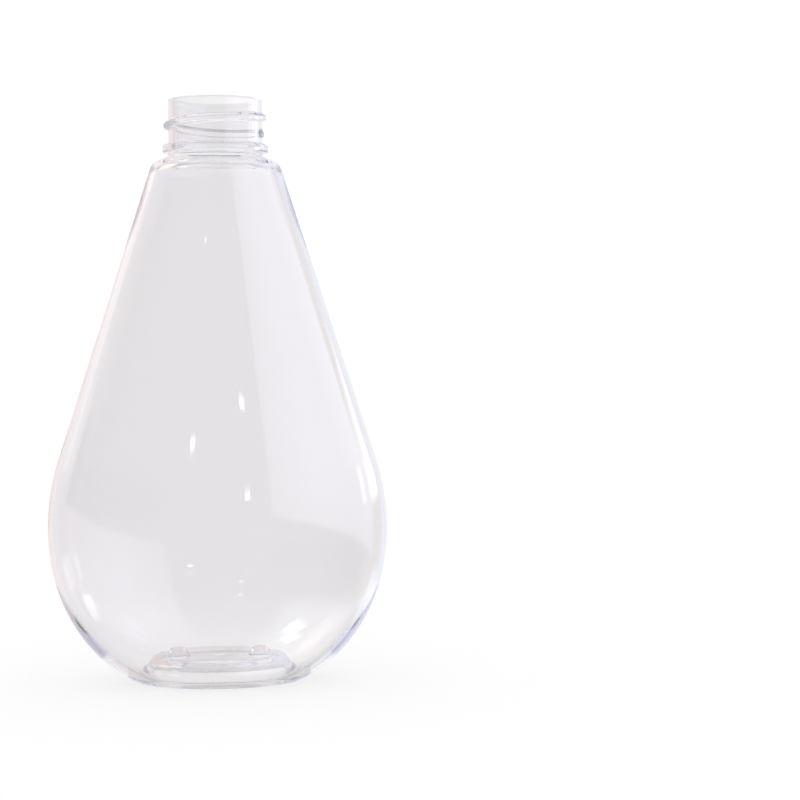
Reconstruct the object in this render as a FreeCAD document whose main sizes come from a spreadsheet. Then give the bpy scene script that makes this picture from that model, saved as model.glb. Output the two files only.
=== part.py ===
import FreeCAD, Part
import os
import Sketcher

# A blow-moulded teardrop bottle in clear plastic, open at the neck.
# Millimetres. The origin is the middle of the base, +Z is up, X runs across the width
# and Y through the depth; the front faces -Y.

os.makedirs("parts", exist_ok=True)
doc = FreeCAD.newDocument("teardrop_bottle")

# ---------------------------------------------------------------- sizes
SIZES = {
    # whole bottle
    "overall_height": 155.0,
    "body_width": 90.4,
    "body_depth": 62.4,
    "wall": 0.7,
    # body outline below the widest level: a quarter ellipse, cut off flat just above its lowest point
    "widest_height": 40.6,
    "foot_cut": 2.6,
    "belly_reach": 35.9,
    # body outline above the widest level: an arc, then a straight slope to the shoulder
    "front_arc_radius": 62.0,
    "side_arc_radius": 62.0,
    # the shoulder: how far it reaches out past the neck, across the width and through the depth
    "shoulder_reach_wide": 4.4,
    "shoulder_reach_deep": 2.9,
    "shoulder_below_rim": 16.8,
    "shoulder_edge_radius": 2.8,
    # neck finish, 28 mm with a single-start thread
    "neck_root_below_rim": 15.0,
    "neck_diameter": 25.0,
    "neck_wall": 1.65,
    "rim_round": 0.5,
    "bead_proud": 1.5,
    "bead_height": 2.2,
    "bead_round": 0.9,
    "bead_below_rim": 13.1,
    "thread_proud": 1.2,
    "thread_pitch": 4.233,
    "thread_turns": 1.18,
    "thread_root_width": 2.4,
    "thread_crest_width": 1.0,
    "thread_crest_drop": 0.4,
    "thread_below_rim": 9.05,
    "thread_start_angle": -20.0,
    "thread_runout_turns": 0.09,
    "thread_sink": 0.3,
    # base: a standing ring round a panel pushed up into the bottle
    "floor_height": 2.4,
    "heel_round": 1.5,
    "panel_rise": 4.2,
    "panel_thickness": 1.6,
    "panel_flare": 2.0,
    "ring_width": 2.5,
    # two round pips, pushed up out of the panel
    "pip_diameter": 7.4,
    "pip_rise": 1.9,
    "pip_taper": 1.5,
    "pip_inset": 2.4,
    # how far cutting shapes reach past the face they open
    "overshoot": 1.0,
}

sheet = doc.addObject("Spreadsheet::Sheet", "Sizes")
for row, (word, number) in enumerate(SIZES.items(), start=1):
    sheet.set("A%d" % row, word)
    sheet.set("B%d" % row, str(number))
    sheet.setAlias("B%d" % row, word)
doc.recompute()


def size(word):
    return "Sizes." + word


def value(expression):
    result = sheet.evalExpression(expression)
    return float(getattr(result, "Value", result))


body = doc.addObject("PartDesign::Body", "Bottle")


def origin_plane(role):
    for feature in body.Origin.OriginFeatures:
        if feature.Role == role:
            return feature
    raise ValueError(role)


def new_sketch(name, role):
    sketch = body.newObject("Sketcher::SketchObject", name)
    sketch.AttachmentSupport = [(origin_plane(role), "")]
    sketch.MapMode = "FlatFace"
    return sketch


def bind(sketch, kind, geometry, expression):
    index = sketch.addConstraint(Sketcher.Constraint(kind, *geometry, value(expression)))
    sketch.setExpression("Constraints[%d]" % index, expression)


def ellipse_sketch(name, height, half_width, half_depth):
    sketch = new_sketch(name, "XY_Plane")
    sketch.setExpression("AttachmentOffset.Base.z", height)
    ellipse = Part.Ellipse(FreeCAD.Vector(0, 0, 0), value(half_width), value(half_depth))
    sketch.addGeometry(ellipse)
    sketch.exposeInternalGeometry(0)
    sketch.addConstraint(Sketcher.Constraint("Coincident", 0, 3, -1, 1))
    sketch.addConstraint(Sketcher.Constraint("Horizontal", 1))
    bind(sketch, "Distance", (1,), "2 * (%s)" % half_width)
    bind(sketch, "Distance", (2,), "2 * (%s)" % half_depth)
    return sketch


def circle_sketch(name, height, radius, across="0"):
    sketch = new_sketch(name, "XY_Plane")
    sketch.setExpression("AttachmentOffset.Base.z", height)
    centre = FreeCAD.Vector(value(across), 0, 0)
    sketch.addGeometry(Part.Circle(centre, FreeCAD.Vector(0, 0, 1), value(radius)))
    if across == "0":
        sketch.addConstraint(Sketcher.Constraint("Coincident", 0, 3, -1, 1))
    else:
        sketch.addConstraint(Sketcher.Constraint("PointOnObject", 0, 3, -1))
        bind(sketch, "DistanceX", (-1, 1, 0, 3), across)
    bind(sketch, "Radius", (0,), radius)
    return sketch


def outline_sketch(name, corners, turn=None):
    # closed outline of straight lines in the upright plane; corners are (across, up)
    sketch = new_sketch(name, "XZ_Plane")
    if turn is not None:
        sketch.setExpression("AttachmentOffset.Rotation.Axis.y", "1")
        sketch.setExpression("AttachmentOffset.Rotation.Axis.z", "0")
        sketch.setExpression("AttachmentOffset.Rotation.Angle", turn)
    points = [FreeCAD.Vector(value(across), value(up), 0) for across, up in corners]
    count = len(points)
    for index in range(count):
        sketch.addGeometry(Part.LineSegment(points[index], points[(index + 1) % count]))
    for index in range(count):
        sketch.addConstraint(Sketcher.Constraint("Coincident", index, 2, (index + 1) % count, 1))
    for index, (across, up) in enumerate(corners):
        bind(sketch, "DistanceX", (-1, 1, index, 1), across)
        bind(sketch, "DistanceY", (-1, 1, index, 1), up)
    return sketch


# ---------------------------------------------------------------- levels and slopes
neck_radius = "(%s / 2)" % size("neck_diameter")
bore_radius = "(%s - %s)" % (neck_radius, size("neck_wall"))
bead_radius = "(%s + %s)" % (neck_radius, size("bead_proud"))
thread_radius = "(%s + %s)" % (neck_radius, size("thread_proud"))
belly_drop = "(%s + %s)" % (size("widest_height"), size("foot_cut"))
shoulder_height = "(%s - %s)" % (size("overall_height"), size("shoulder_below_rim"))
neck_root_height = "(%s - %s)" % (size("overall_height"), size("neck_root_below_rim"))
shoulder_rise = "(%s - %s)" % (shoulder_height, size("widest_height"))


def slope_of(full_size, shoulder_reach, radius):
    # angle off upright of the line that runs down from the shoulder's edge and just touches the arc
    across = "(%s + %s - %s / 2 + %s)" % (neck_radius, shoulder_reach, full_size, radius)
    reach = "sqrt(%s ^ 2 + %s ^ 2)" % (across, shoulder_rise)
    return "(atan(%s / %s) - acos(%s / %s))" % (shoulder_rise, across, radius, reach)


front_slope = slope_of(size("body_width"), size("shoulder_reach_wide"), size("front_arc_radius"))
side_slope = slope_of(size("body_depth"), size("shoulder_reach_deep"), size("side_arc_radius"))

# ---------------------------------------------------------------- body sections
# Every section is an ellipse. The inner skin uses the same formulas with the wall taken off.

side_reach = "(%s * %s / %s)" % (size("belly_reach"), size("body_depth"), size("body_width"))


def half_below(full_size, reach, wall, angle):
    # half of the body's size at an angle down the quarter ellipse
    return "(%s / 2 - %s + (%s - %s) * cos(%s))" % (full_size, reach, reach, wall, angle)


def section_below(prefix, number, share, wall, floor):
    # a level on the quarter ellipse; share 0 is the widest level, 1 is the floor
    drop = "(%s - %s)" % (belly_drop, wall)
    angle = "(%s * asin((%s - %s) / %s))" % (share, size("widest_height"), floor, drop)
    height = "%s - %s * sin(%s)" % (size("widest_height"), drop, angle)
    return ellipse_sketch(
        "%s_%02d" % (prefix, number), height,
        half_below(size("body_width"), size("belly_reach"), wall, angle),
        half_below(size("body_depth"), side_reach, wall, angle))


def half_above(full_size, radius, slope, wall, rise):
    # half of the body's size at a rise above the widest level: on the arc, or on the straight slope
    inner_radius = "(%s - %s)" % (radius, wall)
    centre = "(%s / 2 - %s)" % (full_size, radius)
    arc = "%s + sqrt(abs(%s ^ 2 - (%s) ^ 2))" % (centre, inner_radius, rise)
    straight = "%s + %s * cos(%s) - (%s - %s * sin(%s)) * tan(%s)" % (
        centre, inner_radius, slope, rise, inner_radius, slope, slope)
    return "(%s) < %s * sin(%s) ? (%s) : (%s)" % (rise, inner_radius, slope, arc, straight)


def section_above(prefix, number, rise, wall):
    # a level at a rise above the widest level
    height = "%s + %s" % (size("widest_height"), rise)
    half_width = half_above(
        size("body_width"), size("front_arc_radius"), front_slope, wall, rise)
    half_depth = half_above(
        size("body_depth"), size("side_arc_radius"), side_slope, wall, rise)
    return ellipse_sketch("%s_%02d" % (prefix, number), height, half_width, half_depth)


def arc_rise(share, wall):
    # rise above the widest level at a share of the front arc
    return "((%s - %s) * sin(%s * %s))" % (size("front_arc_radius"), wall, share, front_slope)


SHARES_BELOW = [1.0, 0.86, 0.7, 0.52, 0.34, 0.17, 0.0]
SHARES_ABOVE = [0.5, 1.0]


def loft(kind, name, sections, ruled=False):
    feature = body.newObject("PartDesign::" + kind, name)
    feature.Profile = sections[0]
    feature.Sections = sections[1:]
    feature.Ruled = ruled
    doc.recompute()
    return feature


def belly_sections(prefix, wall, floor):
    below = [section_below(prefix, n, share, wall, floor) for n, share in enumerate(SHARES_BELOW)]
    above = [
        section_above(prefix, n, arc_rise(share, wall), wall)
        for n, share in enumerate(SHARES_ABOVE, start=len(SHARES_BELOW))]
    return below + above


def cone_sections(prefix, wall, top):
    # both outlines are straight here, so two sections and a ruled skin are exact
    top_rise = "(%s - %s)" % (top, size("widest_height"))
    return [
        section_above(prefix, 0, arc_rise(1.0, wall), wall),
        section_above(prefix, 1, top_rise, wall)]


# ---------------------------------------------------------------- outside
belly = loft("AdditiveLoft", "Belly", belly_sections("BellySection", "0", "0"))
loft("AdditiveLoft", "Cone", cone_sections("ConeSection", "0", shoulder_height), ruled=True)
shoulder_edge = section_above("ShoulderEdge", 0, shoulder_rise, "0")
neck_root = circle_sketch("NeckRoot", neck_root_height, neck_radius)
loft("AdditiveLoft", "Shoulder", [shoulder_edge, neck_root], ruled=True)

# neck tube with the bead under the thread
bead_middle = "(%s - %s)" % (size("overall_height"), size("bead_below_rim"))
bead_low = "(%s - %s / 2)" % (bead_middle, size("bead_height"))
bead_high = "(%s + %s / 2)" % (bead_middle, size("bead_height"))
neck_low = "(%s - %s)" % (neck_root_height, size("overshoot"))
neck_outline = outline_sketch("NeckOutline", [
    (bore_radius, neck_low),
    (neck_radius, neck_low),
    (neck_radius, bead_low),
    (bead_radius, bead_low),
    (bead_radius, bead_high),
    (neck_radius, bead_high),
    (neck_radius, size("overall_height")),
    (bore_radius, size("overall_height"))])
neck = body.newObject("PartDesign::Revolution", "Neck")
neck.Profile = neck_outline
neck.ReferenceAxis = (neck_outline, ["V_Axis"])
neck.Angle = 360
doc.recompute()

# thread: one start, right hand, climbing to the right across the front, with both ends sunk away
thread_low = "(%s - %s)" % (size("overall_height"), size("thread_below_rim"))
main_turns = "(%s - 2 * %s)" % (size("thread_turns"), size("thread_runout_turns"))


def thread_outline(name, turns_before, sunk):
    # the thread's section after some turns from its low end, pushed into the neck when sunk
    middle = "(%s + %s * %s)" % (thread_low, size("thread_pitch"), turns_before)
    push = "(%s * (%s + %s))" % (sunk, size("thread_proud"), size("thread_sink"))
    inner = "(%s - %s - %s)" % (neck_radius, size("thread_sink"), push)
    outer = "(%s - %s)" % (thread_radius, push)
    crest_middle = "(%s - %s)" % (middle, size("thread_crest_drop"))
    half_root = "(%s / 2)" % size("thread_root_width")
    half_crest = "(%s / 2)" % size("thread_crest_width")
    turn = "(%s + 360 * %s)" % (size("thread_start_angle"), turns_before)
    return outline_sketch(name, [
        (inner, "%s - %s" % (middle, half_root)),
        (outer, "%s - %s" % (crest_middle, half_crest)),
        (outer, "%s + %s" % (crest_middle, half_crest)),
        (inner, "%s + %s" % (middle, half_root))], turn)


def helix(name, profile, turns, growth=None):
    feature = body.newObject("PartDesign::AdditiveHelix", name)
    feature.Profile = profile
    feature.ReferenceAxis = (profile, ["V_Axis"])
    if growth is None:
        feature.Mode = "pitch-turns-angle"
        feature.setExpression("Pitch", size("thread_pitch"))
        feature.setExpression("Turns", turns)
        feature.Angle = 0
    else:
        feature.Mode = "height-turns-growth"
        feature.setExpression("Height", "%s * %s" % (size("thread_pitch"), turns))
        feature.setExpression("Turns", turns)
        feature.setExpression("Growth", growth)
    feature.LeftHanded = False
    feature.Reversed = False
    doc.recompute()
    return feature


helix("Thread", thread_outline("ThreadOutline", size("thread_runout_turns"), "0"), main_turns)

sink_per_turn = "((%s + %s) / %s)" % (
    size("thread_proud"), size("thread_sink"), size("thread_runout_turns"))
helix(
    "ThreadRunIn", thread_outline("ThreadRunInOutline", "0", "1"),
    size("thread_runout_turns"), sink_per_turn)
helix(
    "ThreadRunOut",
    thread_outline("ThreadRunOutOutline", "(%s + %s)" % (main_turns, size("thread_runout_turns")), "0"),
    size("thread_runout_turns"), "-" + sink_per_turn)

# ---------------------------------------------------------------- inside
wall = size("wall")
inner_shoulder = "(%s - %s)" % (shoulder_height, wall)
inner_root = "(%s - %s)" % (neck_root_height, wall)

loft("SubtractiveLoft", "InnerBelly", belly_sections("InnerBellySection", wall, size("floor_height")))
loft("SubtractiveLoft", "InnerCone", cone_sections("InnerConeSection", wall, inner_shoulder), ruled=True)
inner_edge = section_above(
    "InnerShoulderEdge", 0, "(%s - %s)" % (inner_shoulder, size("widest_height")), wall)
inner_neck_root = circle_sketch("InnerNeckRoot", inner_root, bore_radius)
loft("SubtractiveLoft", "InnerShoulder", [inner_edge, inner_neck_root], ruled=True)

bore_outline = outline_sketch("BoreOutline", [
    ("0", "%s - %s" % (inner_root, size("overshoot"))),
    (bore_radius, "%s - %s" % (inner_root, size("overshoot"))),
    (bore_radius, "%s + %s" % (size("overall_height"), size("overshoot"))),
    ("0", "%s + %s" % (size("overall_height"), size("overshoot")))])
bore = body.newObject("PartDesign::Groove", "Bore")
bore.Profile = bore_outline
bore.ReferenceAxis = (bore_outline, ["V_Axis"])
bore.Angle = 360
doc.recompute()

# ---------------------------------------------------------------- base
# The panel is an ellipse with sloping sides that starts a ring's width inside the foot's outline;
# its inside is the same shape grown by the thickness.
foot_angle = "asin(%s / %s)" % (size("widest_height"), belly_drop)
foot_half_width = half_below(size("body_width"), size("belly_reach"), "0", foot_angle)
foot_half_depth = half_below(size("body_depth"), side_reach, "0", foot_angle)
panel_top = "(%s + %s)" % (size("panel_rise"), size("panel_thickness"))
panel_side = "(%s / 2)" % size("panel_thickness")


def panel_section(name, height, inward):
    # an ellipse that lies so far inside the foot's outline
    return ellipse_sketch(
        name, height, "%s - (%s)" % (foot_half_width, inward), "%s - (%s)" % (foot_half_depth, inward))


ring = size("ring_width")
ring_and_flare = "(%s + %s)" % (ring, size("panel_flare"))
loft("AdditiveLoft", "PanelInside", [
    panel_section("PanelInsideFoot", "%s - %s / 2" % (size("floor_height"), size("overshoot")),
                  "%s - %s" % (ring, panel_side)),
    panel_section("PanelInsideTop", panel_top, "%s - %s" % (ring_and_flare, panel_side))], ruled=True)
loft("SubtractiveLoft", "PanelOutside", [
    panel_section("PanelOutsideFoot", "0", ring),
    panel_section("PanelOutsideTop", size("panel_rise"), ring_and_flare)], ruled=True)

# each pip stands an inset in from the end of the panel, and is hollow underneath
outer_radius = "(%s / 2)" % size("pip_diameter")
recess_radius = "(%s - %s)" % (outer_radius, panel_side)
pip_offset = "(%s - %s - %s - %s)" % (foot_half_width, ring_and_flare, size("pip_inset"), outer_radius)
for side, across in (("Left", "-" + pip_offset), ("Right", pip_offset)):
    loft("AdditiveLoft", "Pip" + side, [
        circle_sketch("Pip%sFoot" % side, size("panel_rise"), outer_radius, across),
        circle_sketch(
            "Pip%sTop" % side, "%s + %s" % (panel_top, size("pip_rise")),
            "%s - %s" % (outer_radius, size("pip_taper")), across)], ruled=True)
    pip_recess = loft("SubtractiveLoft", "PipRecess" + side, [
        circle_sketch("Pip%sRecessFoot" % side, size("panel_rise"), recess_radius, across),
        circle_sketch(
            "Pip%sRecessTop" % side, "%s + %s" % (size("panel_rise"), size("pip_rise")),
            "%s - %s" % (recess_radius, size("pip_taper")), across)], ruled=True)

# ---------------------------------------------------------------- rounded edges


def edges_at(height, half_width):
    # names of the level edges at a height that reach out to a half width
    names = []
    for number, edge in enumerate(body.Shape.Edges, start=1):
        points = edge.discretize(Number=33)
        level = max(abs(point.z - value(height)) for point in points)
        reach = max(point.x for point in points)
        if level < 0.01 and abs(reach - value(half_width)) < 0.01:
            names.append("Edge%d" % number)
    return names


def half_width_of(section):
    # the half width that a section was drawn to, in plain millimetres
    return "%.6f" % max(vertex.X for vertex in section.Shape.Vertexes)


def fillet(name, base, edges, radius):
    feature = body.newObject("PartDesign::Fillet", name)
    feature.Base = (base, edges)
    feature.setExpression("Radius", radius)
    doc.recompute()
    return feature


rim = size("overall_height")
rim_round = fillet(
    "RimRound", pip_recess, edges_at(rim, neck_radius) + edges_at(rim, bore_radius),
    size("rim_round"))
bead_round = fillet(
    "BeadRound", rim_round, edges_at(bead_low, bead_radius) + edges_at(bead_high, bead_radius),
    size("bead_round"))
shoulder_round = fillet(
    "ShoulderRound", bead_round,
    edges_at(shoulder_height, half_width_of(shoulder_edge)), size("shoulder_edge_radius"))
inner_shoulder_round = fillet(
    "InnerShoulderRound", shoulder_round, edges_at(inner_shoulder, half_width_of(inner_edge)),
    "%s - %s" % (size("shoulder_edge_radius"), wall))
heel_round = fillet(
    "HeelRound", inner_shoulder_round, edges_at("0", half_width_of(belly.Profile[0])), size("heel_round"))
body.Tip = heel_round

# ---------------------------------------------------------------- checks and export
doc.recompute()
for item in doc.Objects:
    if "Invalid" in item.State or "Error" in item.State:
        raise RuntimeError("%s did not build: %s" % (item.Name, item.State))
    shape = getattr(item, "Shape", None)
    if shape is not None and item.isDerivedFrom("PartDesign::Feature"):
        if shape.isNull() or not shape.isValid():
            raise RuntimeError("%s has no valid shape" % item.Name)

solid = body.Shape
if solid.isNull() or not solid.isValid() or len(solid.Solids) != 1:
    raise RuntimeError("the bottle is not one valid solid")
solid.exportStep("parts/bottle.step")
print("bottle volume", round(solid.Volume, 1), "solids", len(solid.Solids))
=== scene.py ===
import math

import bpy
import numpy as np
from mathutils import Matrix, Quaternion, Vector


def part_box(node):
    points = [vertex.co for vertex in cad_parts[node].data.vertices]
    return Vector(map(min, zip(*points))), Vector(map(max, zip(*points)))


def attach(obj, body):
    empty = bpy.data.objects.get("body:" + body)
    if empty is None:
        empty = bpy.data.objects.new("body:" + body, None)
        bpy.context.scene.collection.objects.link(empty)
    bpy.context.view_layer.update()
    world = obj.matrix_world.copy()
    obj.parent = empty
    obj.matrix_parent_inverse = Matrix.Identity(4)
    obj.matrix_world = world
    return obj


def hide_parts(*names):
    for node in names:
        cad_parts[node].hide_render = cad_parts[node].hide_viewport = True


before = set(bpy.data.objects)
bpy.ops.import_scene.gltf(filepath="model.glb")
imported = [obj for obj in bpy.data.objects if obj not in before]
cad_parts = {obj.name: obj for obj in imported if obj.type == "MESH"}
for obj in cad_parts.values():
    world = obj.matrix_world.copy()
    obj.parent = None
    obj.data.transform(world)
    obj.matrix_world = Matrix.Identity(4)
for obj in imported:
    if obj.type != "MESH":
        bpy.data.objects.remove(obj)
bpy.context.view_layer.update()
bottle_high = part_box("bottle")[1]

MM = 0.001

# ------------------------------------------------------------------ sizes, in millimetres
WALL = 0.7
SHOULDER_EXTRA, SHOULDER_TAPER = 0.8, 24.0   # how much thicker the wall is at the shoulder, and
FOOT_EXTRA, FOOT_TAPER = 1.2, 26.0           # at the foot, and over what height it gets there
HALF_WIDTH = min(45.2, bottle_high.x / MM)
HALF_DEPTH = min(31.2, bottle_high.y / MM)
HEIGHT = min(155.0, bottle_high.z / MM)
WIDEST = 40.6            # height of the widest level
BELLY_DROP = 43.2        # the quarter ellipse under it
BELLY_REACH = 35.9
BODY_ARC = 62.0          # the arc over it
NECK_R, BORE_R, BEAD_R = 12.5, 10.85, 14.0
SHOULDER = HEIGHT - 16.8
SHOULDER_WIDE, SHOULDER_DEEP = NECK_R + 4.4, NECK_R + 2.9
NECK_ROOT = HEIGHT - 15.0
BEAD_LOW, BEAD_HIGH = HEIGHT - 14.2, HEIGHT - 12.0
THREAD_R, THREAD_PITCH, THREAD_TURNS = 13.7, 4.233, 1.18
THREAD_LOW = HEIGHT - 9.05
THREAD_START = -20.0     # degrees about the neck, at the low end
THREAD_HALF = 1.25       # half of its height on the neck
LOAD_FLANK, LEAD_FLANK = 0.45, 1.2   # height of the steep lower flank and of the gentle upper one
THREAD_RUNOUT = 0.16     # turns over which each end sinks away
FLOOR = 2.4
PANEL_RISE, PANEL_THICK, PANEL_FLARE = 4.2, 1.6, 2.0
PANEL_A, PANEL_B = 17.06, 10.38
PANEL_MIDDLE = (0.02, 0.0122)    # half sizes of the smallest ring, round the middle of the panel
PIP_X, PIP_R, PIP_RISE, PIP_FLANK = 10.96, 3.1, 1.9, 1.3
GATE_R, GATE_DEEP, GATE_FLANK = 1.7, 0.35, 0.8
PANEL_LIP = 0.5          # how far the panel's rounded edge may sag and still carry pips
RIM_CLEAR = 0.6          # plain height that the thread leaves under the rim
BELLY_STEPS, CONE_STEPS, COLUMNS = 70, 110, 288
TOUCH = 0.001            # two places closer than this are the same


# ------------------------------------------------------------------ outline of the bottle
# A level of the bottle is an ellipse: (half width, half depth, height).

def slope_of(full_half, shoulder_half):
    # angle off upright of the line from the shoulder's edge that just touches the arc
    across, up = shoulder_half - full_half + BODY_ARC, SHOULDER - WIDEST
    return math.atan(up / across) - math.acos(BODY_ARC / math.hypot(across, up))


def half_above(full_half, slope, wall, rise):
    # half size at a rise above the widest level: an arc, then a straight slope
    radius = BODY_ARC - wall
    centre = full_half - BODY_ARC
    on_arc = centre + np.sqrt(np.maximum(radius ** 2 - rise ** 2, 0))
    on_slope = (centre + radius * math.cos(slope)
                - (rise - radius * math.sin(slope)) * math.tan(slope))
    return np.where(rise < radius * math.sin(slope), on_arc, on_slope)


def wall_at(height):
    # the blown wall is thickest where the preform stretched least, at the shoulder and the foot
    near_shoulder = smooth_step((height - SHOULDER + SHOULDER_TAPER) / SHOULDER_TAPER)
    near_foot = smooth_step((FOOT_TAPER - height) / FOOT_TAPER)
    return WALL + SHOULDER_EXTRA * near_shoulder + FOOT_EXTRA * near_foot


def body_outline(inside, low, high):
    # the teardrop from the foot up to the shoulder, its outer or its inner skin
    reach_side = BELLY_REACH * HALF_DEPTH / HALF_WIDTH
    lowest_turn = math.asin((WIDEST - low) / (BELLY_DROP - (wall_at(low) if inside else 0)))
    turn = np.linspace(lowest_turn, 0, BELLY_STEPS)
    wall = wall_at(WIDEST - BELLY_DROP * np.sin(turn)) if inside else 0
    drop = BELLY_DROP - wall
    below = np.stack([
        HALF_WIDTH - BELLY_REACH + (BELLY_REACH - wall) * np.cos(turn),
        HALF_DEPTH - reach_side + (reach_side - wall) * np.cos(turn),
        WIDEST - drop * np.sin(turn)], axis=1)
    rise = np.linspace(0, high - WIDEST, CONE_STEPS)[1:]
    wall = wall_at(WIDEST + rise) if inside else 0
    above = np.stack([
        half_above(HALF_WIDTH, slope_of(HALF_WIDTH, SHOULDER_WIDE), wall, rise),
        half_above(HALF_DEPTH, slope_of(HALF_DEPTH, SHOULDER_DEEP), wall, rise),
        WIDEST + rise], axis=1)
    return np.concatenate([below, above])


def straight(start, end, count):
    share = np.linspace(0, 1, count)[:, None]
    return np.asarray(start) * (1 - share) + np.asarray(end) * share


def trimmed(line, length):
    # the line with its last stretch of that length taken off, and the point it now ends at
    steps = np.linalg.norm(np.diff(line, axis=0), axis=1)
    along = np.concatenate([[0], np.cumsum(steps)])
    keep = along[-1] - length
    end = np.array([np.interp(keep, along, line[:, k]) for k in range(3)])
    return np.concatenate([line[along < keep - 1e-6], end[None]])


def joined(stretches, steps=7):
    # one line through all the stretches, each led in by a corner rounded off by its own length
    whole = stretches[0][1]
    for size, stretch in stretches[1:]:
        corner = stretch[0]
        before = trimmed(whole, size)
        after = trimmed(stretch[::-1], size)[::-1]
        share = np.linspace(0, 1, steps + 2)[1:-1, None]
        curve = ((1 - share) ** 2 * before[-1] + 2 * share * (1 - share) * corner
                 + share ** 2 * after[0])
        whole = np.concatenate([before, curve, after])
    return whole


def ring(half, height):
    # a round level
    return (half, half, height)


def bottle_outline():
    # the closed line from the middle of the underside, up the outer skin and down the inner one
    outer = body_outline(False, 0, SHOULDER)
    inner = body_outline(True, FLOOR, SHOULDER - WALL - SHOULDER_EXTRA)[::-1]
    panel_top = PANEL_RISE + PANEL_THICK
    side = PANEL_THICK / 2
    panel_edge = (PANEL_A, PANEL_B, PANEL_RISE)
    foot = (PANEL_A + PANEL_FLARE, PANEL_B + PANEL_FLARE, 0)
    inside_foot = (foot[0] + side, foot[1] + side, FLOOR)
    inside_edge = (PANEL_A + side, PANEL_B + side, panel_top)
    neck_root, rim, mouth = ring(NECK_R, NECK_ROOT), ring(NECK_R, HEIGHT), ring(BORE_R, HEIGHT)
    bead_under, bead_over = ring(NECK_R, BEAD_LOW), ring(NECK_R, BEAD_HIGH)
    bead_low, bead_high = ring(BEAD_R, BEAD_LOW), ring(BEAD_R, BEAD_HIGH)
    bore_end = ring(BORE_R, NECK_ROOT - WALL - SHOULDER_EXTRA / 2)
    return joined([
        (0, straight((*PANEL_MIDDLE, PANEL_RISE), panel_edge, 90)),    # under the base panel
        (1.9, straight(panel_edge, foot, 10)),
        (0.6, straight(foot, outer[0], 5)),                            # the ring that it stands on
        (0.6, outer),
        (1.8, straight(outer[-1], neck_root, 10)),                     # the shoulder
        (0.45, straight(neck_root, bead_under, 6)),
        (0.3, straight(bead_under, bead_low, 6)),
        (0.7, straight(bead_low, bead_high, 6)),
        (0.9, straight(bead_high, bead_over, 6)),
        (0.35, straight(bead_over, rim, 130)),                         # the neck
        (0.5, straight(rim, mouth, 5)),
        (0.5, straight(mouth, bore_end, 16)),
        (1.6, straight(bore_end, inner[0], 8)),
        (1.6, inner),
        (1.6, straight(inner[-1], inside_foot, 5)),
        (2.2, straight(inside_foot, inside_edge, 10)),
        (2.0, straight(inside_edge, (*PANEL_MIDDLE, panel_top), 90)),  # over the base panel
    ])


def smooth_step(share):
    share = np.clip(share, 0, 1)
    return share * share * (3 - 2 * share)


def thread_depth(height, turn):
    # how far the thread stands out of the neck at a height and an angle in degrees
    depth = np.zeros_like(height)
    for lap in range(3):
        travelled = (turn - THREAD_START) % 360 / 360 + lap
        middle = THREAD_LOW + THREAD_PITCH * travelled
        # the lower flank is the one that carries the cap
        flank = (smooth_step((height - middle + THREAD_HALF) / LOAD_FLANK)
                 * smooth_step((middle + THREAD_HALF - height) / LEAD_FLANK))
        ends = smooth_step(np.minimum(travelled, THREAD_TURNS - travelled) / THREAD_RUNOUT)
        depth = np.maximum(depth, (THREAD_R - NECK_R) * flank * ends)
    return depth


def pip_rise(x, y):
    # the two round pips in the base panel
    rise = np.zeros_like(x)
    for side in (-1, 1):
        away = np.hypot(x - side * PIP_X, y)
        rise += PIP_RISE * smooth_step((PIP_R - away) / PIP_FLANK)
    return rise


# ------------------------------------------------------------------ bottle mesh
def bottle_mesh():
    outline = bottle_outline()
    rows = len(outline)
    turn = np.linspace(0, 360, COLUMNS, endpoint=False)
    turns = np.broadcast_to(turn, (rows, COLUMNS))
    a = np.repeat(outline[:, :1], COLUMNS, axis=1)
    b = np.repeat(outline[:, 1:2], COLUMNS, axis=1)
    z = np.repeat(outline[:, 2:], COLUMNS, axis=1)
    outside_neck = (np.abs(a - NECK_R) < TOUCH) & (z > BEAD_HIGH) & (z < HEIGHT - RIM_CLEAR)
    grown = np.where(outside_neck, thread_depth(z, turns), 0)
    a = a + grown
    b = b + grown
    x = a * np.cos(np.radians(turns))
    y = b * np.sin(np.radians(turns))
    panel_top = PANEL_RISE + PANEL_THICK
    on_panel = (a < PANEL_A) & (z > PANEL_RISE - PANEL_LIP) & (z < panel_top + TOUCH)
    z = z + np.where(on_panel, pip_rise(x, y), 0)
    # the gate mark hangs a little under the middle of the panel
    under_panel = on_panel & (z < PANEL_RISE + TOUCH)
    gate = GATE_DEEP * smooth_step((GATE_R - np.hypot(x, y)) / GATE_FLANK)
    z = z - np.where(under_panel, gate, 0)

    points = np.stack([x, y, z], axis=-1).reshape(-1, 3) * MM
    poles = np.array([[0, 0, PANEL_RISE - GATE_DEEP], [0, 0, panel_top]]) * MM
    points = np.concatenate([points, poles])
    low_pole, high_pole = rows * COLUMNS, rows * COLUMNS + 1
    column = np.arange(COLUMNS)
    after = (column + 1) % COLUMNS
    faces = []
    for row in range(rows - 1):
        here, above = row * COLUMNS, (row + 1) * COLUMNS
        faces += np.stack([here + column, here + after, above + after, above + column], 1).tolist()
    last = (rows - 1) * COLUMNS
    faces += [[low_pole, int(after[k]), int(column[k])] for k in range(COLUMNS)]
    faces += [[high_pole, last + int(column[k]), last + int(after[k])] for k in range(COLUMNS)]

    mesh = bpy.data.meshes.new("teardrop_bottle")
    mesh.from_pydata(points.tolist(), [], faces)
    mesh.validate()
    mesh.shade_smooth()
    return mesh


# ------------------------------------------------------------------ finishes
def linear(code):
    # sRGB hex to the linear colour that the shaders take
    values = [int(code[k:k + 2], 16) / 255 for k in (1, 3, 5)]
    return [v / 12.92 if v <= 0.04045 else ((v + 0.055) / 1.055) ** 2.4 for v in values] + [1.0]


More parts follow.
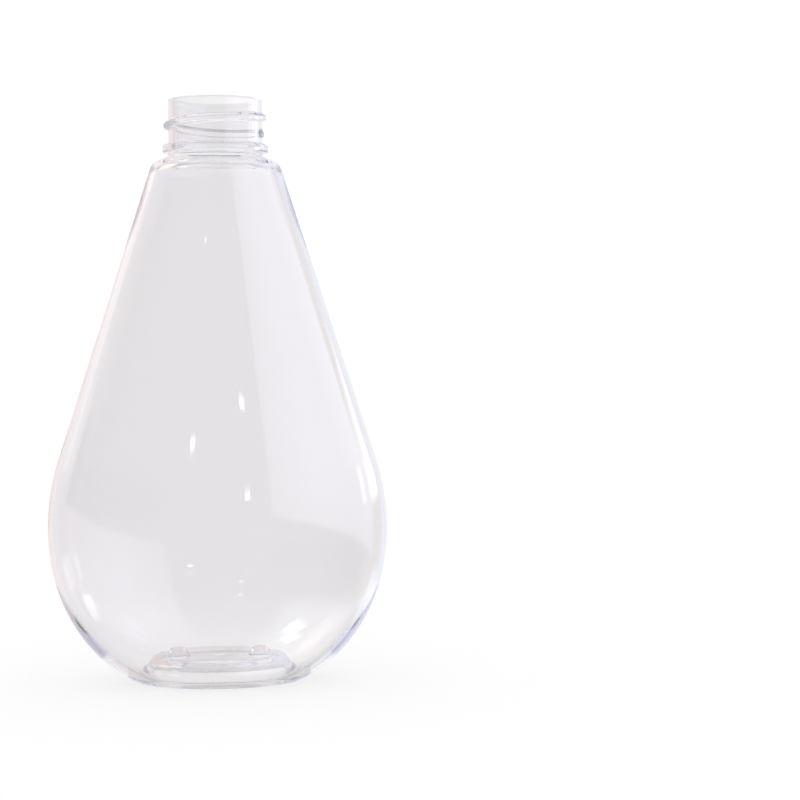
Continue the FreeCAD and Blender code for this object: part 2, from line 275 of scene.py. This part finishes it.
def add_node(tree, kind, links=(), **settings):
    # a node with its settings; links are (socket name or number, output socket)
    node = tree.nodes.new(kind)
    for name, setting in settings.items():
        if name.startswith("in_"):
            key = name[3:].replace("_", " ")
            node.inputs[int(key) if key.isdigit() else key].default_value = setting
        else:
            setattr(node, name, setting)
    for socket, output in links:
        tree.links.new(output, node.inputs[socket])
    return node


def new_material(name):
    material = bpy.data.materials.new(name)
    material.use_nodes = True
    material.node_tree.nodes.clear()
    return material, material.node_tree


def clear_pet():
    # Stretch-blown PET: water-clear and glossy, its blue toner seen only where the wall is thick.
    # The blown skin is not quite true, so reflected edges waver a little.
    material, tree = new_material("clear_blown_PET")
    place = add_node(tree, "ShaderNodeTexCoord")
    ripple_length, ripple_height = 22.0, 0.035
    ripple = add_node(tree, "ShaderNodeTexNoise", [("Vector", place.outputs["Object"])],
                      in_Scale=1 / (ripple_length * MM), in_Detail=1.0, in_Roughness=0.4)
    skin = add_node(tree, "ShaderNodeBump", [("Height", ripple.outputs[0])],
                    in_Strength=1.0, in_Distance=ripple_height * MM)
    shader = add_node(tree, "ShaderNodeBsdfPrincipled", [("Normal", skin.outputs[0])],
                      in_Base_Color=linear("#f8f7f8"), in_Roughness=0.02, in_IOR=1.575,
                      in_Transmission_Weight=1.0)
    toner = add_node(tree, "ShaderNodeVolumeAbsorption",
                     in_Color=linear("#d8ddf2"), in_Density=13.0)
    add_node(tree, "ShaderNodeOutputMaterial",
             [("Surface", shader.outputs[0]), ("Volume", toner.outputs[0])])
    return material


def table_top():
    # Opal acrylic light table: matt, and lit evenly from underneath
    material, tree = new_material("backlit_opal_acrylic")
    shader = add_node(tree, "ShaderNodeBsdfPrincipled", in_Base_Color=linear("#7c7c80"),
                      in_Roughness=0.9, in_Specular_IOR_Level=0.0,
                      in_Emission_Color=linear("#ffffff"), in_Emission_Strength=0.8)
    add_node(tree, "ShaderNodeOutputMaterial", [("Surface", shader.outputs[0])])
    return material


# ------------------------------------------------------------------ bottle
bottle = bpy.data.objects.new("clear_teardrop_bottle", bottle_mesh())
bpy.context.scene.collection.objects.link(bottle)
bottle.data.materials.append(clear_pet())
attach(bottle, "root")
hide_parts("bottle")


# ------------------------------------------------------------------ studio
TABLE_HALF, TABLE_GAP = 6.0, 0.05 * MM   # metres from its middle to its edge, and down from the foot


def table():
    mesh = bpy.data.meshes.new("table")
    half = TABLE_HALF
    mesh.from_pydata([(-half, -half, 0), (half, -half, 0), (half, half, 0), (-half, half, 0)],
                     [], [(0, 1, 2, 3)])
    top = bpy.data.objects.new("table", mesh)
    top.location.z = -TABLE_GAP
    mesh.materials.append(table_top())
    bpy.context.scene.collection.objects.link(top)
    top.visible_glossy = False
    top.visible_transmission = False


# The studio, as directions seen from the bottle. Azimuth runs from the front (-Y) towards the
# right (+X) and elevation up from level, both in degrees. A window is (left, right, low, high,
# half the width of its soft edge). Each light is its window, the colour that the gloss mirrors,
# and how many times brighter than paper white it is. A later one lies over those before it.
STUDIO_LIGHTS = [
    ((-200, 200, -120, -36, 14), "#dedad4", 0.78),     # table
    ((-200, 200, 61, 120, 13), "#f2f0ec", 0.75),       # ceiling
    ((-168, -138, -35, 40, 5), "#fff0ee", 0.94),       # warm wall behind on the left
    ((138, 168, -35, 40, 5), "#eef2ff", 1.02),         # bluish wall behind on the right
    ((-152, -124, 9, 24, 4), "#fff4f0", 1.16),         # brighter stretch of the warm wall
    ((-108, -28, 3.5, 15.5, 1.5), "#3a302c", 0.3),     # dark recess on the left
    ((40, 122, -90, -36, 8), "#f8f8ff", 1.35),         # table, where the softbox lights it
    ((113, 134, 2.5, 12.5, 2), "#ffffff", 1.8),        # white wall beyond the softbox
    ((124, 165, -32, -16, 4), "#f4f6ff", 1.4),         # foot of the bluish wall
    ((99, 105, 4, 13, 1.5), "#ffffff", 2.2),           # bright strip in the softbox's far end
    ((-103, -91, -36, -27, 2.5), "#f8faff", 2.4),      # low window on the left
    ((-150, -108, 32, 50, 5), "#ffe4d0", 1.8),         # warm lamp high behind on the left
    ((-94, -70, 49, 59, 3), "#ffffff", 5.0),           # overhead lamp on the left
    ((81, 91, 42, 55, 4), "#eceeff", 2.4),             # overhead lamp on the right
    ((13, 16, 17.35, 17.65, 0.2), "#f4f8ff", 6.0),     # four small lamps in front
    ((13, 15.5, 13.7, 14.75, 0.25), "#f4f8ff", 5.0),
    ((-15, -12.5, 16.1, 16.35, 0.18), "#ffffff", 6.0),
    ((-13, -10.5, 24.4, 26.2, 0.6), "#ffffff", 4.5),
]
ROOM_DIM, ROOM_PALE = "#6e6663", "#fbf8f6"      # the room in front, and round the back
ROOM_TURNS = (85.0, 150.0)       # how far round, to either side, the room starts and ends turning pale
# The softbox is a window too, in elevations measured from a line that falls towards its far end.
SOFTBOX, SOFTBOX_FALL = (26, 114, 10, 100, 1.6), 0.2
SOFTBOX_COLOUR, SOFTBOX_BRIGHT = "#f2ebff", 1.5
# It is dimmer at its near end and along its low edge: (from, to, share of the light that is left).
SOFTBOX_NEAR, SOFTBOX_LOW = (20.0, 55.0, 0.5), (-6.0, 16.0, 0.66)
BACKDROP = 1.04                  # the backdrop is just past white
SHARE_MIRRORED_AGAIN = 0.3       # share of the room in what is mirrored a second time and more


def window(tree, azimuth, elevation, edges):
    # how far a direction lies inside a window of the studio, from 0 to 1
    left, right, low, high, soft = edges
    inside = None
    for angle, edge, side in ((azimuth, left, 1), (azimuth, right, -1),
                              (elevation, low, 1), (elevation, high, -1)):
        step = add_node(tree, "ShaderNodeMapRange", [("Value", angle)],
                        interpolation_type="SMOOTHSTEP", in_From_Min=edge - side * soft,
                        in_From_Max=edge + side * soft).outputs[0]
        if inside is not None:
            step = add_node(tree, "ShaderNodeMath", [(0, inside), (1, step)],
                            operation="MULTIPLY").outputs[0]
        inside = step
    return inside


def bright(colour, strength):
    return [strength * part for part in linear(colour)[:3]]


def studio_light():
    world = bpy.data.worlds.new("studio")
    bpy.context.scene.world = world
    world.use_nodes = True
    world.cycles.sampling_method = "NONE"
    tree = world.node_tree
    tree.nodes.clear()
    place = add_node(tree, "ShaderNodeTexCoord")
    split = add_node(tree, "ShaderNodeSeparateXYZ", [(0, place.outputs["Generated"])])
    x, y, z = split.outputs
    ahead = add_node(tree, "ShaderNodeMath", [(0, y)], operation="MULTIPLY", in_1=-1.0)
    turn = add_node(tree, "ShaderNodeMath", [(0, x), (1, ahead.outputs[0])], operation="ARCTAN2")
    tilt = add_node(tree, "ShaderNodeMath", [(0, z)], operation="ARCSINE")
    azimuth, elevation = [
        add_node(tree, "ShaderNodeMath", [(0, angle.outputs[0])], operation="DEGREES").outputs[0]
        for angle in (turn, tilt)]

    # the room: dim in front, and brighter round the sides towards the white backdrop
    away = add_node(tree, "ShaderNodeMath", [(0, azimuth)], operation="ABSOLUTE")
    round_side = add_node(tree, "ShaderNodeMapRange", [("Value", away.outputs[0])],
                          in_From_Min=ROOM_TURNS[0], in_From_Max=ROOM_TURNS[1])
    room = add_node(tree, "ShaderNodeMix", [(0, round_side.outputs[0])], data_type="RGBA",
                    in_6=linear(ROOM_DIM), in_7=linear(ROOM_PALE)).outputs[2]

    # the softbox on the right
    above_fall = add_node(tree, "ShaderNodeMath", [(0, azimuth), (2, elevation)],
                          operation="MULTIPLY_ADD", in_1=SOFTBOX_FALL)
    share = window(tree, azimuth, above_fall.outputs[0], SOFTBOX)
    near, low = [
        add_node(tree, "ShaderNodeMapRange", [("Value", angle)],
                 in_From_Min=start, in_From_Max=end, in_To_Min=dimmest)
        for angle, (start, end, dimmest) in ((azimuth, SOFTBOX_NEAR), (elevation, SOFTBOX_LOW))]
    glow = add_node(tree, "ShaderNodeMath", [(0, near.outputs[0]), (1, low.outputs[0])],
                    operation="MULTIPLY")
    panel = add_node(tree, "ShaderNodeVectorMath", [("Scale", glow.outputs[0])],
                     operation="SCALE", in_0=bright(SOFTBOX_COLOUR, SOFTBOX_BRIGHT))
    room = add_node(tree, "ShaderNodeMix", [(0, share), (6, room), (7, panel.outputs[0])],
                    data_type="RGBA").outputs[2]

    for edges, colour, strength in STUDIO_LIGHTS:
        share = window(tree, azimuth, elevation, edges)
        room = add_node(tree, "ShaderNodeMix", [(0, share), (6, room)], data_type="RGBA",
                        in_7=bright(colour, strength) + [1.0]).outputs[2]

    # Seen straight, or through the clear wall, the backdrop is plain white. Only the gloss
    # mirrors the room, in full the first time that light is mirrored.
    path = add_node(tree, "ShaderNodeLightPath")
    once = add_node(tree, "ShaderNodeMath", [(0, path.outputs["Glossy Depth"])],
                    operation="COMPARE", in_1=1.0, in_2=0.5)
    again = add_node(tree, "ShaderNodeMath", [(0, path.outputs["Glossy Depth"])],
                     operation="GREATER_THAN", in_1=1.5)
    mirrored = add_node(tree, "ShaderNodeMath", [(0, again.outputs[0]), (2, once.outputs[0])],
                        operation="MULTIPLY_ADD", in_1=SHARE_MIRRORED_AGAIN)
    seen = add_node(tree, "ShaderNodeMix", [(0, mirrored.outputs[0]), (7, room)],
                    data_type="RGBA", in_6=(BACKDROP, BACKDROP, BACKDROP, 1.0))
    back = add_node(tree, "ShaderNodeBackground", [("Color", seen.outputs[2])])
    add_node(tree, "ShaderNodeOutputWorld", [(0, back.outputs[0])])


table()
studio_light()

# light runs far inside thick clear plastic before it gets out, so its path isn't cut short
LONGEST_PATH = 64
tracer = bpy.context.scene.cycles
tracer.max_bounces = LONGEST_PATH
tracer.glossy_bounces = LONGEST_PATH
tracer.transmission_bounces = LONGEST_PATH


# ------------------------------------------------------------------ camera
CAMERA_PLACE = (0, -0.561, 0.0951)
LENS, SENSOR = 94.2, 36          # millimetres
YAW, PITCH, ROLL = (math.radians(angle) for angle in (4.985, -2.07, -0.3))


def aimed_camera():
    data = bpy.data.cameras.new("camera")
    data.sensor_width = SENSOR
    data.lens = LENS
    data.clip_start, data.clip_end = 0.01, 20
    camera = bpy.data.objects.new("camera", data)
    bpy.context.scene.collection.objects.link(camera)
    camera.location = CAMERA_PLACE
    level = math.cos(PITCH)
    toward = Vector((math.sin(YAW) * level, math.cos(YAW) * level, math.sin(PITCH)))
    aim = toward.to_track_quat("-Z", "Y")
    camera.rotation_euler = (aim @ Quaternion((0, 0, 1), ROLL)).to_euler()
    bpy.context.scene.camera = camera


aimed_camera()
bpy.context.scene.view_settings.view_transform = "Standard"
